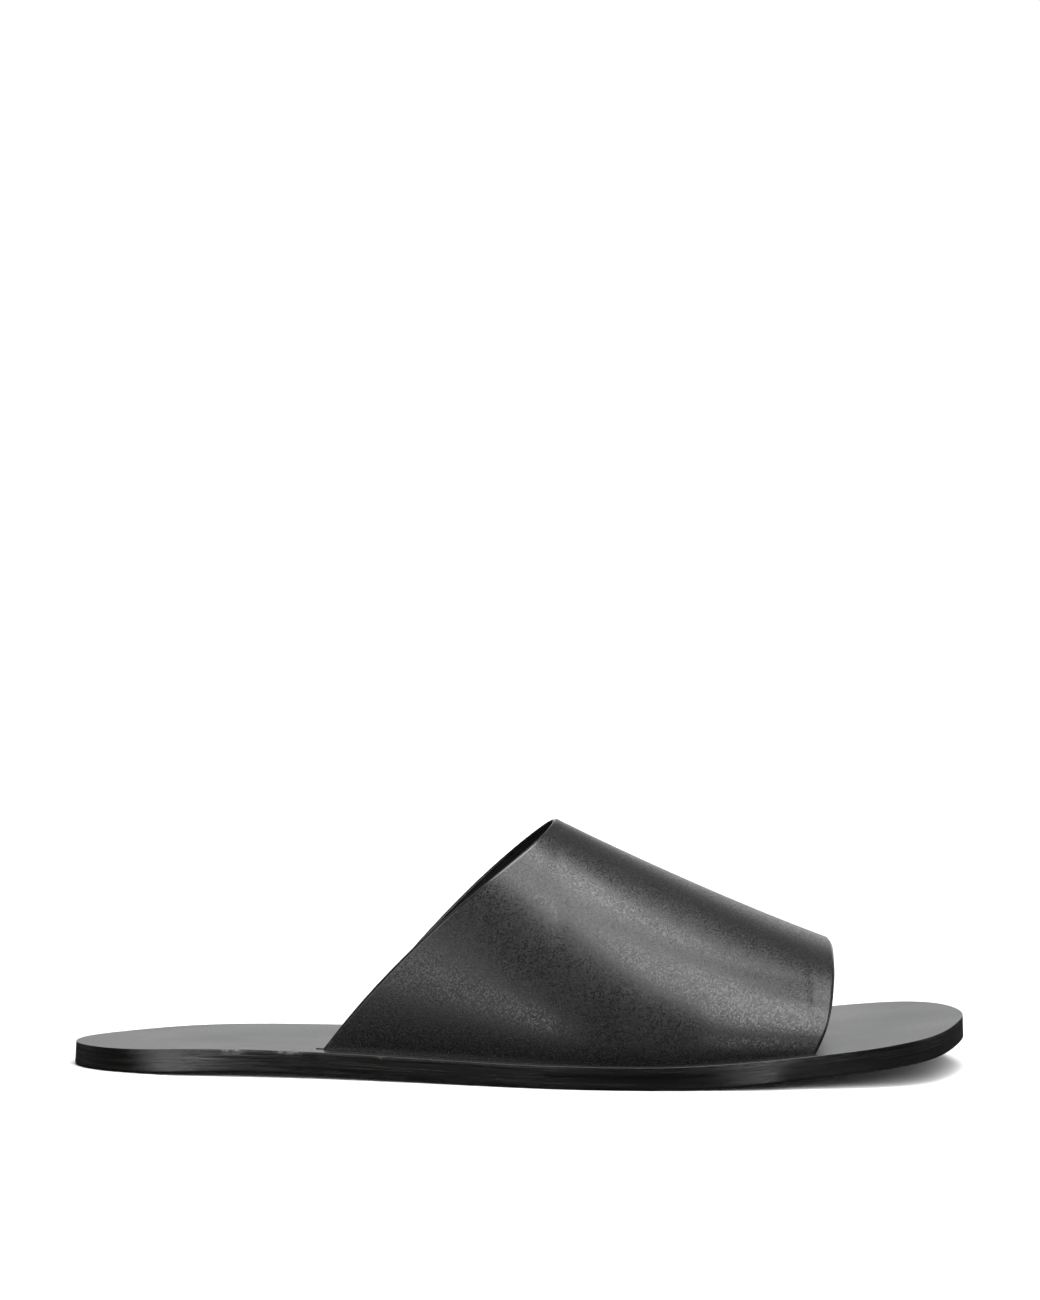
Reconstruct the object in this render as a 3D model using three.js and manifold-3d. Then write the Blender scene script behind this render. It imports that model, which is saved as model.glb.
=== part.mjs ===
// A slide sandal for the right foot: one wide leather band over the instep, whose two
// lower edges pass down through slots in a leather insole, on a leather outsole.
// Millimetres. +X runs from heel to toe, +Y to the medial (inner) side, +Z up.
// A station is a distance along the sole from the heel's end. The sole stands on z = 0.

import * as THREE from 'three';
import { mergeVertices } from 'three/addons/utils/BufferGeometryUtils.js';
import Module from 'manifold-3d';

const wasm = await Module();
wasm.setup();

// The sole.
const SOLE_LENGTH = 260;
const BALL_WIDTH = 84.4;
const OUTSOLE_THICKNESS = 3.5;
const INSOLE_THICKNESS = 2.9;
const LAYER_GAP = 0.3;
const SOLE_FLARE = 0.7;
const INSOLE_BEVEL = 0.5;
const OUTSOLE_ROUNDING = 0.4;
const ARCH_RISE = 1.3;
const TOE_SPRING = 8.6;

// The band.
const BAND_WALL = 1.8;
const THROAT_HEIGHT = 65.6;
const TOE_OPENING_HEIGHT = 26.8;
const RIDGE_SAG = 1.15;
const SLOT_INSET_BACK = 5.0;
const SLOT_INSET_FRONT = 2.2;
const SLOT_CLEARANCE = 0.3;
const SLOT_OVERRUN = 2.3;

// How finely the curved forms are cut.
const SOLE_STATIONS = 56;
const SOLE_STRIPS = 5;
const BAND_ROWS_PER_SIDE = 17;
const BAND_COLUMNS = 22;
const SLOT_STATIONS = 20;

const LATERAL = -1;
const MEDIAL = 1;

// The insole's outline: how far it reaches to each side of the centre line.
// station is a share of SOLE_LENGTH, lateral and medial are shares of BALL_WIDTH.
const OUTLINE = [
  { station: 0.0, lateral: 0.0, medial: 0.0 },
  { station: 0.038, lateral: 0.159, medial: 0.166 },
  { station: 0.115, lateral: 0.236, medial: 0.254 },
  { station: 0.23, lateral: 0.287, medial: 0.287 },
  { station: 0.385, lateral: 0.39, medial: 0.307 },
  { station: 0.54, lateral: 0.504, medial: 0.389 },
  { station: 0.69, lateral: 0.522, medial: 0.478 },
  { station: 0.81, lateral: 0.483, medial: 0.501 },
  { station: 0.9, lateral: 0.436, medial: 0.483 },
  { station: 0.96, lateral: 0.31, medial: 0.391 },
  { station: 0.988, lateral: 0.126, medial: 0.256 },
  { station: 1.0, lateral: -0.05, medial: 0.05 },
];

// Where the sole leaves the floor, as shares of SOLE_LENGTH.
const HEEL_REST_END = 0.058;
const BALL_REST_START = 0.565;
const BALL_REST_END = 0.63;
const ARCH_SKEW = 0.56;
const SPRING_POWER = 1.55;

// The band's edges: the stations of its back and front edge at the slot and at the
// ridge, as shares of SOLE_LENGTH, and how the back edge leaves the slot (rake) and
// swells (swell) on its way up to the throat. The front edge reaches the ridge's station
// at FRONT_TUCK of the way up, and is drawn back by FRONT_BOW half way up.
const BAND_EDGES = {
  lateral: { back: 0.2766, front: 0.8145, rake: 1.3, swell: 0.5 },
  medial: { back: 0.3086, front: 0.8308, rake: 1.55, swell: 0.3 },
};
const THROAT_STATION = 0.5358;
const TOE_OPENING_STATION = 0.8468;
const FRONT_TUCK = 0.63;
const FRONT_BOW = -0.0058;

// The band's section, from the throat to the toe opening. ridge is the ridge's offset
// to the medial side, as a share of BALL_WIDTH; side is how high the side stays steep,
// as a share of the ridge's height; and shoulder is how wide the ridge stays flat, as a
// share of the half width. SIDE_LEAN is how far the side leans out, as a share of the
// height of its steep part.
const BAND_SECTIONS = {
  throat: { ridge: 0.05, side: 0.44, shoulder: 0.44 },
  toe: { ridge: 0.021, side: 0.515, shoulder: 0.585 },
};
const SIDE_LEAN = 0.12;

// Returns the natural cubic spline through the points (xs, ys).
function naturalSpline(xs, ys) {
  const last = xs.length - 1;
  const step = xs.slice(1).map((x, i) => x - xs[i]);
  const slope = ys.slice(1).map((y, i) => (y - ys[i]) / step[i]);
  const bend = new Array(last + 1).fill(0);
  const factor = new Array(last + 1).fill(0);
  for (let i = 1; i < last; i += 1) {
    const pivot = 2 * (step[i - 1] + step[i]) - step[i - 1] * factor[i - 1];
    factor[i] = step[i] / pivot;
    bend[i] = (6 * (slope[i] - slope[i - 1]) - step[i - 1] * bend[i - 1]) / pivot;
  }
  for (let i = last - 1; i > 0; i -= 1) {
    bend[i] -= factor[i] * bend[i + 1];
  }
  return (x) => {
    let i = 0;
    while (i < last - 1 && x > xs[i + 1]) {
      i += 1;
    }
    const d = x - xs[i];
    const start = slope[i] - (step[i] * (2 * bend[i] + bend[i + 1])) / 6;
    return ys[i] + d * (start + d * (bend[i] / 2 + (d * (bend[i + 1] - bend[i])) / (6 * step[i])));
  };
}

function clamp01(value) {
  return Math.min(1, Math.max(0, value));
}

function mix(a, b, share) {
  return a + (b - a) * share;
}

// The outline is splined over an angle that runs from 0 at the heel's end to PI at the
// toe's end, so that both ends come out round.
function angleAt(stationShare) {
  return Math.acos(1 - 2 * clamp01(stationShare));
}

const outlineAngles = OUTLINE.map((row) => angleAt(row.station));
const lateralReach = naturalSpline(outlineAngles, OUTLINE.map((row) => row.lateral));
const medialReach = naturalSpline(outlineAngles, OUTLINE.map((row) => row.medial));

function reachAtAngle(angle, side) {
  return BALL_WIDTH * (side === LATERAL ? lateralReach(angle) : medialReach(angle));
}

function reachAt(station, side) {
  return reachAtAngle(angleAt(station / SOLE_LENGTH), side);
}

// Height of the sole's underside: flat under the heel's end and the ball of the foot,
// a low arch between them and the toe spring ahead of them.
function undersideAt(station) {
  const share = station / SOLE_LENGTH;
  const archShare = clamp01((share - HEEL_REST_END) / (BALL_REST_START - HEEL_REST_END));
  const springShare = clamp01((share - BALL_REST_END) / (1 - BALL_REST_END));
  const arch = ARCH_RISE * Math.sin(Math.PI * archShare ** ARCH_SKEW) ** 2;
  return arch + TOE_SPRING * springShare ** SPRING_POWER;
}

const insoleUnderside = OUTSOLE_THICKNESS + LAYER_GAP;
const soleThickness = insoleUnderside + INSOLE_THICKNESS;

function insoleTopAt(station) {
  return undersideAt(station) + soleThickness;
}

// How far the sole's wall stands out from the outline at a height over the underside.
function flareAt(height) {
  return SOLE_FLARE * (1 - height / soleThickness);
}

// Builds a geometry from points and triangles, leaving out triangles with no area.
function makeGeometry(points, triangles) {
  const loose = new THREE.BufferGeometry();
  loose.setAttribute('position', new THREE.Float32BufferAttribute(points.flat(), 3));
  loose.setIndex(triangles.flat());
  const merged = mergeVertices(loose, 1e-4);
  const index = merged.getIndex().array;
  const kept = [];
  for (let i = 0; i < index.length; i += 3) {
    const [a, b, c] = [index[i], index[i + 1], index[i + 2]];
    if (a !== b && b !== c && c !== a) {
      kept.push(a, b, c);
    }
  }
  merged.setIndex(kept);
  return merged;
}

function quad(a, b, c, d) {
  return [[a, b, c], [a, c, d]];
}

// The outline as a ring of points with outward normals: up the lateral side from the
// heel's end to the toe's end, then back down the medial side.
function outlineRing() {
  const ring = [];
  const pointAt = (angle, side) => [
    (SOLE_LENGTH * (1 - Math.cos(angle))) / 2,
    side * reachAtAngle(angle, side),
  ];
  for (let i = 0; i < 2 * SOLE_STATIONS; i += 1) {
    const side = i < SOLE_STATIONS ? LATERAL : MEDIAL;
    const turn = i < SOLE_STATIONS ? i : 2 * SOLE_STATIONS - i;
    ring.push(pointAt((Math.PI * turn) / SOLE_STATIONS, side));
  }
  return ring.map(([x, y], i) => {
    const before = ring[(i + ring.length - 1) % ring.length];
    const after = ring[(i + 1) % ring.length];
    const along = new THREE.Vector2(after[0] - before[0], after[1] - before[1]).normalize();
    return { x, y, outX: along.y, outY: -along.x };
  });
}

// A layer of the sole. Each level has a height over the sole's underside and a
// distance out from the outline; the first and last levels are closed across.
function makeSoleLayer(levels) {
  const ring = outlineRing();
  const points = [];
  const triangles = [];
  const around = ring.length;
  for (const level of levels) {
    for (const { x, y, outX, outY } of ring) {
      const station = x + outX * level.out;
      points.push([station, y + outY * level.out, undersideAt(station) + level.height]);
    }
  }
  for (let level = 0; level + 1 < levels.length; level += 1) {
    for (let i = 0; i < around; i += 1) {
      const next = (i + 1) % around;
      const low = level * around;
      const high = low + around;
      triangles.push(...quad(low + i, low + next, high + next, high + i));
    }
  }
  const closeAcross = (levelNumber, facesUp) => {
    const base = levelNumber * around;
    const { height } = levels[levelNumber];
    const rows = [];
    for (let i = 0; i <= SOLE_STATIONS; i += 1) {
      const near = base + i;
      const far = base + ((around - i) % around);
      const row = [near];
      for (let strip = 1; strip < SOLE_STRIPS; strip += 1) {
        const share = strip / SOLE_STRIPS;
        const station = mix(points[near][0], points[far][0], share);
        row.push(points.length);
        points.push([station, mix(points[near][1], points[far][1], share), undersideAt(station) + height]);
      }
      row.push(far);
      rows.push(row);
    }
    for (let i = 0; i < SOLE_STATIONS; i += 1) {
      for (let strip = 0; strip < SOLE_STRIPS; strip += 1) {
        const [a, b] = [rows[i][strip], rows[i + 1][strip]];
        const [c, d] = [rows[i + 1][strip + 1], rows[i][strip + 1]];
        triangles.push(...(facesUp ? quad(a, b, c, d) : quad(d, c, b, a)));
      }
    }
  };
  closeAcross(0, false);
  closeAcross(levels.length - 1, true);
  return makeGeometry(points, triangles);
}

function makeOutsole() {
  return makeSoleLayer([
    { height: 0, out: SOLE_FLARE - OUTSOLE_ROUNDING },
    { height: OUTSOLE_ROUNDING, out: flareAt(OUTSOLE_ROUNDING) },
    { height: OUTSOLE_THICKNESS, out: flareAt(OUTSOLE_THICKNESS) },
  ]);
}

// Stations of the band at the slots, on one side.
function bandEdges(side) {
  return side === LATERAL ? BAND_EDGES.lateral : BAND_EDGES.medial;
}

// Where the band's outer skin leaves the insole, as a distance from the centre line.
function slotReachAt(station, side) {
  const edges = bandEdges(side);
  const share = clamp01((station / SOLE_LENGTH - edges.back) / (edges.front - edges.back));
  return reachAt(station, side) - mix(SLOT_INSET_BACK, SLOT_INSET_FRONT, share);
}

// Height of the ridge, the top line of the band. Behind the throat it carries on
// straight, as the last does, although the band is cut away there.
function ridgeHeightAt(station) {
  const throat = THROAT_STATION * SOLE_LENGTH;
  const toe = TOE_OPENING_STATION * SOLE_LENGTH;
  const throatTop = insoleTopAt(throat) + THROAT_HEIGHT;
  const toeTop = insoleTopAt(toe) + TOE_OPENING_HEIGHT;
  const share = (station - throat) / (toe - throat);
  const sag = 4 * RIDGE_SAG * share * (1 - Math.max(0, share));
  return mix(throatTop, toeTop, share) - sag;
}

// Station of the band at a share of the way up its side and from back to front.
function bandStation(side, up, forward) {
  const edges = bandEdges(side);
  const rise = edges.rake * up * (1 - up) ** 2 + up * up * (3 - 2 * up);
  const back = mix(edges.back, THROAT_STATION, rise + edges.swell * (up * (1 - up)) ** 2);
  const tuck = 1 - Math.max(0, 1 - up / FRONT_TUCK) ** 2;
  const bow = FRONT_BOW * Math.sin(Math.PI * up) ** 2;
  const front = mix(edges.front, TOE_OPENING_STATION, tuck) + bow;
  return SOLE_LENGTH * mix(back, front, forward);
}

// A point on the band's outer skin: up runs from the slot (0) to the ridge (1), and
// forward from the back edge (0) to the front edge (1).
function bandPoint(side, up, forward) {
  const station = bandStation(side, up, forward);
  const { throat, toe } = BAND_SECTIONS;
  const edges = bandEdges(side);
  const share = station / SOLE_LENGTH;
  const section = clamp01((share - THROAT_STATION) / (TOE_OPENING_STATION - THROAT_STATION));
  const alongSlot = clamp01((share - edges.back) / (edges.front - edges.back));
  const ridge = BALL_WIDTH * mix(throat.ridge, toe.ridge, section);
  const slot = side * slotReachAt(station, side);
  const floor = insoleTopAt(station);
  const top = ridgeHeightAt(station);
  const steep = mix(throat.side, toe.side, section) * (top - floor);
  const shoulder = mix(throat.shoulder, toe.shoulder, section) * (slot - ridge);
  const lean = side * SIDE_LEAN * steep * Math.sqrt(Math.sin(Math.PI * alongSlot));
  const curve = new THREE.CubicBezierCurve(
    new THREE.Vector2(slot, floor),
    new THREE.Vector2(slot + lean, floor + steep),
    new THREE.Vector2(ridge + shoulder, top),
    new THREE.Vector2(ridge, top),
  );
  const { x: across, y: height } = curve.getPoint(up);
  return new THREE.Vector3(station, across, height);
}

// The band: an outer and an inner skin one wall apart, over a grid that goes round
// from the lateral slot to the medial slot. Its first and last rows run straight down
// through the slots to the insole's underside.
function makeUpper() {
  const rows = [{ side: LATERAL, up: 0, inSlot: true }];
  for (let i = 0; i <= 2 * BAND_ROWS_PER_SIDE; i += 1) {
    const side = i <= BAND_ROWS_PER_SIDE ? LATERAL : MEDIAL;
    const up = 1 - Math.abs(i - BAND_ROWS_PER_SIDE) / BAND_ROWS_PER_SIDE;
    rows.push({ side, up, inSlot: false });
  }
  rows.push({ side: MEDIAL, up: 0, inSlot: true });

  const outer = rows.map(({ side, up, inSlot }) => {
    const row = [];
    for (let j = 0; j <= BAND_COLUMNS; j += 1) {
      const point = bandPoint(side, up, j / BAND_COLUMNS);
      if (inSlot) {
        point.z = undersideAt(point.x) + insoleUnderside;
      }
      row.push(point);
    }
    return row;
  });

  const inward = (i, j) => {
    const { side, up } = rows[i];
    if (up === 0) {
      return new THREE.Vector3(0, -side, 0);
    }
    const across = outer[i + 1][j].clone().sub(outer[i - 1][j]);
    const before = outer[i][Math.max(0, j - 1)];
    const after = outer[i][Math.min(BAND_COLUMNS, j + 1)];
    return across.cross(after.clone().sub(before)).normalize();
  };

  const points = [];
  const columns = BAND_COLUMNS + 1;
  const innerStart = rows.length * columns;
  outer.forEach((row) => row.forEach((point) => points.push(point.toArray())));
  outer.forEach((row, i) => row.forEach((point, j) => {
    points.push(point.clone().addScaledVector(inward(i, j), BAND_WALL).toArray());
  }));

  const triangles = [];
  const at = (i, j) => i * columns + j;
  for (let i = 0; i + 1 < rows.length; i += 1) {
    for (let j = 0; j < BAND_COLUMNS; j += 1) {
      const [a, b, c, d] = [at(i, j), at(i, j + 1), at(i + 1, j + 1), at(i + 1, j)];
      triangles.push(...quad(a, b, c, d));
      triangles.push(...quad(innerStart + d, innerStart + c, innerStart + b, innerStart + a));
    }
    const [backLow, backHigh] = [at(i, 0), at(i + 1, 0)];
    const [frontLow, frontHigh] = [at(i, BAND_COLUMNS), at(i + 1, BAND_COLUMNS)];
    triangles.push(...quad(backLow, backHigh, innerStart + backHigh, innerStart + backLow));
    triangles.push(...quad(frontHigh, frontLow, innerStart + frontLow, innerStart + frontHigh));
  }
  const lastRow = rows.length - 1;
  for (let j = 0; j < BAND_COLUMNS; j += 1) {
    const [a, b] = [at(0, j), at(0, j + 1)];
    const [c, d] = [at(lastRow, j), at(lastRow, j + 1)];
    triangles.push(...quad(b, a, innerStart + a, innerStart + b));
    triangles.push(...quad(c, d, innerStart + d, innerStart + c));
  }
  return makeGeometry(points, triangles);
}

// The block of space that one slot takes out of the insole, along the band's foot. It
// runs on a little behind the band's back edge, as a cut slot does.
function makeSlotCutter(side) {
  const edges = bandEdges(side);
  const start = SOLE_LENGTH * edges.back - SLOT_OVERRUN;
  const end = SOLE_LENGTH * edges.front + SLOT_CLEARANCE;
  const points = [];
  const triangles = [];
  for (let i = 0; i <= SLOT_STATIONS; i += 1) {
    const station = mix(start, end, i / SLOT_STATIONS);
    const reach = slotReachAt(station, side);
    const outside = side * (reach + SLOT_CLEARANCE);
    const inside = side * (reach - BAND_WALL - SLOT_CLEARANCE);
    const [low, high] = [Math.min(outside, inside), Math.max(outside, inside)];
    const bottom = undersideAt(station) + OUTSOLE_THICKNESS;
    const top = insoleTopAt(station) + INSOLE_THICKNESS;
    points.push([station, low, bottom], [station, high, bottom], [station, high, top], [station, low, top]);
  }
  for (let i = 0; i < SLOT_STATIONS; i += 1) {
    for (let corner = 0; corner < 4; corner += 1) {
      const next = (corner + 1) % 4;
      const [here, there] = [4 * i, 4 * (i + 1)];
      triangles.push(...quad(here + corner, here + next, there + next, there + corner));
    }
  }
  const far = 4 * SLOT_STATIONS;
  triangles.push(...quad(3, 2, 1, 0), ...quad(far, far + 1, far + 2, far + 3));
  return makeGeometry(points, triangles);
}

function toSolid(geometry) {
  return new wasm.Manifold(new wasm.Mesh({
    numProp: 3,
    vertProperties: new Float32Array(geometry.getAttribute('position').array),
    triVerts: new Uint32Array(geometry.getIndex().array),
  }));
}

function toGeometry(solid) {
  const mesh = solid.getMesh();
  const geometry = new THREE.BufferGeometry();
  geometry.setAttribute('position', new THREE.BufferAttribute(mesh.vertProperties, 3));
  geometry.setIndex(new THREE.BufferAttribute(mesh.triVerts, 1));
  return geometry;
}

function makeInsole() {
  const board = makeSoleLayer([
    { height: insoleUnderside, out: flareAt(insoleUnderside) },
    { height: soleThickness - INSOLE_BEVEL, out: flareAt(soleThickness - INSOLE_BEVEL) },
    { height: soleThickness, out: -INSOLE_BEVEL },
  ]);
  const slotted = toSolid(board)
    .subtract(toSolid(makeSlotCutter(LATERAL)))
    .subtract(toSolid(makeSlotCutter(MEDIAL)));
  return toGeometry(slotted);
}

const bandLeather = new THREE.MeshStandardMaterial({ color: 0x1d1d1e, roughness: 0.42, metalness: 0 });
const insoleLeather = new THREE.MeshStandardMaterial({ color: 0x242626, roughness: 0.38, metalness: 0 });
const soleLeather = new THREE.MeshStandardMaterial({ color: 0x161616, roughness: 0.5, metalness: 0 });

function addPiece(group, name, geometry, material) {
  geometry.computeVertexNormals();
  const piece = new THREE.Mesh(geometry, material);
  piece.name = name;
  group.add(piece);
}

const sandal = new THREE.Group();
addPiece(sandal, 'outsole', makeOutsole(), soleLeather);
addPiece(sandal, 'insole', makeInsole(), insoleLeather);
addPiece(sandal, 'upper', makeUpper(), bandLeather);

// The origin lies on the floor under the middle of the whole sandal's box.
const middle = new THREE.Box3().setFromObject(sandal, true).getCenter(new THREE.Vector3());
sandal.position.set(-middle.x, -middle.y, 0);

export default sandal;
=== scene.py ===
"""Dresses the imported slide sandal, sets it on a pale studio floor and aims the camera.

The sandal is a right shoe. +X runs from heel to toe, +Y to the medial (inner) side and
+Z up. A station is a distance along the sole from the heel's end. Sizes of the sandal
are written in millimetres and become metres when a mesh is made.
"""

import math

import bpy
import numpy as np
from mathutils import Matrix, Vector


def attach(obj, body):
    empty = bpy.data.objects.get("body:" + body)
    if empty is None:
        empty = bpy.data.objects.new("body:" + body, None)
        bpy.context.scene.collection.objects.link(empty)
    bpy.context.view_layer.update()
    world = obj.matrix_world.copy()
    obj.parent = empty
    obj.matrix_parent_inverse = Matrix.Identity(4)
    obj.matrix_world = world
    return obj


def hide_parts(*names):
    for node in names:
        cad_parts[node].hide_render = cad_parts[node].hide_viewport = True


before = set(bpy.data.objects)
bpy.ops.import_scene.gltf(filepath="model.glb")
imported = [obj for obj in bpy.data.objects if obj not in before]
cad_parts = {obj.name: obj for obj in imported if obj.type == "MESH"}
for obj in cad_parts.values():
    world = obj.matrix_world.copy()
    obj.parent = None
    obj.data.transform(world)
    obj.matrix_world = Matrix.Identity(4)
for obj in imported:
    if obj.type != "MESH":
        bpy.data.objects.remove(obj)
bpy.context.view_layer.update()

MM = 0.001
LATERAL = -1
MEDIAL = 1

# The sole, in millimetres.
SOLE_LENGTH = 260.0
BALL_WIDTH = 84.4
SOLE_THICKNESS = 6.7
JOIN_HEIGHT = 3.65
SOLE_FLARE = 0.7
TOP_EDGE_ROUNDING = 0.12
WORN_EDGE_ROUNDING = 0.42
WORN_EDGE_START = 30.0
WORN_EDGE_END = 48.0
WORN_EDGE_FADE = 7.0
LOWER_EDGE_ROUNDING = 0.4
ARCH_RISE = 1.3
TOE_SPRING = 8.6

# The band, in millimetres.
BAND_WALL = 1.8
THROAT_HEIGHT = 65.6
TOE_OPENING_HEIGHT = 26.8
RIDGE_SAG = 1.15
SLOT_INSET_BACK = 5.0
SLOT_INSET_FRONT = 2.2
SLOT_CLEARANCE = 0.3
SLOT_OVERRUN = 2.3
FOOT_LEVEL = 3.8

# The insole's outline, to each side of the centre line, as shares of the ball's width.
OUTLINE = [
    {"station": 0.0, "lateral": 0.0, "medial": 0.0},
    {"station": 0.038, "lateral": 0.159, "medial": 0.166},
    {"station": 0.115, "lateral": 0.236, "medial": 0.254},
    {"station": 0.23, "lateral": 0.287, "medial": 0.287},
    {"station": 0.385, "lateral": 0.39, "medial": 0.307},
    {"station": 0.54, "lateral": 0.504, "medial": 0.389},
    {"station": 0.69, "lateral": 0.522, "medial": 0.478},
    {"station": 0.81, "lateral": 0.483, "medial": 0.501},
    {"station": 0.9, "lateral": 0.436, "medial": 0.483},
    {"station": 0.96, "lateral": 0.31, "medial": 0.391},
    {"station": 0.988, "lateral": 0.126, "medial": 0.256},
    {"station": 1.0, "lateral": -0.05, "medial": 0.05},
]

# How far the lateral wall leans out at its foot, in millimetres, by station. It was
# rubbed by hand, so it is steeper at the waist and leans more at two places.
WALL_LEAN = [
    (0.0, 0.3), (14.0, 0.35), (29.0, 1.1), (43.0, 0.4), (62.0, -0.1), (100.0, -0.2), (140.0, -0.1),
    (178.0, 0.0), (189.0, 0.5), (200.0, 0.85), (208.0, 0.1), (225.0, -0.1), (240.0, 0.1), (260.0, 0.3),
]

# The medial wall's lean, which is less near the heel's and the toe's end, in millimetres.
MEDIAL_LEAN = 0.45
MEDIAL_LEAN_AT_ENDS = 0.3
MEDIAL_LEAN_RUN = 20.0
LEAN_SMOOTHING_ROUNDS = 6

# Where the sole leaves the floor, as shares of its length.
HEEL_REST_END = 0.058
BALL_REST_START = 0.565
BALL_REST_END = 0.63
ARCH_SKEW = 0.56

# The arch starts softly over this share of its length, so that the footbed has no crease.
ARCH_EASE = 0.07

SPRING_POWER = 1.55

# The band's back and front edge at the slot, as shares of the sole's length, and how
# the back edge leaves the slot (rake) and swells on its way up to the throat.
BAND_EDGES = {
    LATERAL: {"back": 0.2766, "front": 0.8145, "rake": 1.3, "swell": 0.5},
    MEDIAL: {"back": 0.3086, "front": 0.8308, "rake": 1.55, "swell": 0.3},
}
THROAT_STATION = 0.5358
TOE_OPENING_STATION = 0.8468
FRONT_TUCK = 0.63
FRONT_BOW = -0.0058

# The band's section at the throat and at the toe opening: the ridge's offset as a share
# of the ball's width, the steep part of the side as a share of the height, and the
# flat shoulder as a share of the half width.
THROAT_SECTION = {"ridge": 0.05, "side": 0.44, "shoulder": 0.44}
TOE_SECTION = {"ridge": 0.021, "side": 0.515, "shoulder": 0.585}
SIDE_LEAN = 0.12

# Small knocks in the insole's lateral top edge, rubbed light, in millimetres.
EDGE_NICKS = [
    {"station": 43.5, "length": 1.0, "height": 0.5, "depth": 0.16},
    {"station": 46.5, "length": 1.5, "height": 0.6, "depth": 0.18},
    {"station": 59.0, "length": 1.0, "height": 0.4, "depth": 0.14},
    {"station": 62.5, "length": 2.4, "height": 0.5, "depth": 0.16},
    {"station": 88.0, "length": 0.5, "height": 0.4, "depth": 0.2},
]

# A nick also lowers the edge, by this share of its depth. It ends where it would press
# less than the least share.
NICK_DROP = 0.5
NICK_LEAST = 0.01

# Soft troughs (negative) and swells (positive) of the band's leather, on the lateral or
# medial side: each runs from one place to another, given as shares up and forward, and
# is as wide and as high as it says, in millimetres.
BAND_SWELLS = [
    {"side": LATERAL, "start": (0.8, 0.16), "end": (0.46, 1.2), "width": 9.0, "height": 0.55},
    {"side": LATERAL, "start": (0.1, 0.45), "end": (0.26, 1.55), "width": 5.0, "height": 0.8},
    {"side": LATERAL, "start": (0.36, 0.74), "end": (0.38, 1.26), "width": 3.5, "height": -0.35},
    {"side": LATERAL, "start": (0.12, 0.42), "end": (0.16, 0.72), "width": 8.0, "height": -0.3},
    {"side": MEDIAL, "start": (0.8, 0.2), "end": (0.5, 1.1), "width": 9.0, "height": 0.4},
    {"side": MEDIAL, "start": (0.25, 0.1), "end": (0.35, 0.7), "width": 10.0, "height": -0.35},
]

# The swells fade out below this share up, so that the band keeps its line at the slot.
SWELL_FADE = 0.1

# How far the leather stops short of the model's back and front edge, where the paint
# begins, in millimetres.
BACK_TRIM = {LATERAL: 0.85, MEDIAL: 0.35}
FRONT_TRIM = 0.35

# The bead of paint: how far it laps over each skin and stands out of the cut edge, in
# millimetres, and the facets round it.
PAINT_LAP = 0.14
PAINT_DEPTH = 0.55
PAINT_FACETS = 20

# How finely the forms are cut here.
SOLE_STATIONS = 300
FOOTBED_STRIPS = 14
BAND_ROWS_PER_SIDE = 72
BAND_COLUMNS = 150
SHARP_DEGREES = 35

# The outline's angles, in radians, keep this far from those at the slots' ends, and an
# angle that is nearer than the tolerance counts as the same.
SLOT_END_SPACING = 0.004
SAME_ANGLE = 1e-6

# The strips across the sole: the least and the most width of the first one beside the
# edge, and where the second ends at most, as shares of the sole's width there.
OUTER_STRIP_LEAST = 0.03
OUTER_STRIP_MOST = 0.12
INNER_STRIP_MOST = 0.24

# How far in from the rounded edge the strips across the footbed begin, in millimetres.
FOOTBED_INSET = 0.35

# A slot's walls show one small patch of the wall's finish.
SLOT_WALL_UV = [(0.0, 0.0), (0.001, 0.0), (0.001, 0.003), (0.0, 0.003)]


def mix(a, b, share):
    return a + (b - a) * share


def natural_spline(xs, ys):
    """Returns the natural cubic spline through the points (xs, ys)."""
    xs = np.asarray(xs, float)
    ys = np.asarray(ys, float)
    last = len(xs) - 1
    step = np.diff(xs)
    slope = np.diff(ys) / step
    system = np.eye(last + 1)
    right_side = np.zeros(last + 1)
    for i in range(1, last):
        system[i, i - 1] = step[i - 1]
        system[i, i] = 2 * (step[i - 1] + step[i])
        system[i, i + 1] = step[i]
        right_side[i] = 6 * (slope[i] - slope[i - 1])
    bend = np.linalg.solve(system, right_side)

    def value(x):
        i = np.clip(np.searchsorted(xs, x, side="right") - 1, 0, last - 1)
        d = x - xs[i]
        start = slope[i] - step[i] * (2 * bend[i] + bend[i + 1]) / 6
        return ys[i] + d * (start + d * (bend[i] / 2 + d * (bend[i + 1] - bend[i]) / (6 * step[i])))

    return value


def angle_at(share):
    """The angle, 0 at the heel's end and pi at the toe's end, over which the outline is splined."""
    return np.arccos(1 - 2 * np.clip(share, 0, 1))


outline_angles = angle_at(np.array([row["station"] for row in OUTLINE]))
REACH = {
    LATERAL: natural_spline(outline_angles, [row["lateral"] for row in OUTLINE]),
    MEDIAL: natural_spline(outline_angles, [row["medial"] for row in OUTLINE]),
}


def reach_at(station, side):
    return BALL_WIDTH * REACH[side](angle_at(station / SOLE_LENGTH))


def underside_at(station):
    """Height of the sole's underside: heel rest, low arch, ball rest and toe spring."""
    share = station / SOLE_LENGTH
    arch_share = (share - HEEL_REST_END) / (BALL_REST_START - HEEL_REST_END)
    arch_share = np.minimum((arch_share + np.sqrt(arch_share ** 2 + ARCH_EASE ** 2)) / 2, 1)
    spring_share = np.clip((share - BALL_REST_END) / (1 - BALL_REST_END), 0, 1)
    arch = ARCH_RISE * np.sin(np.pi * arch_share ** ARCH_SKEW) ** 2
    return arch + TOE_SPRING * spring_share ** SPRING_POWER


def footbed_at(station):
    return underside_at(station) + SOLE_THICKNESS


def flare_at(height, flare=SOLE_FLARE):
    return flare * (1 - height / SOLE_THICKNESS)


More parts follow.
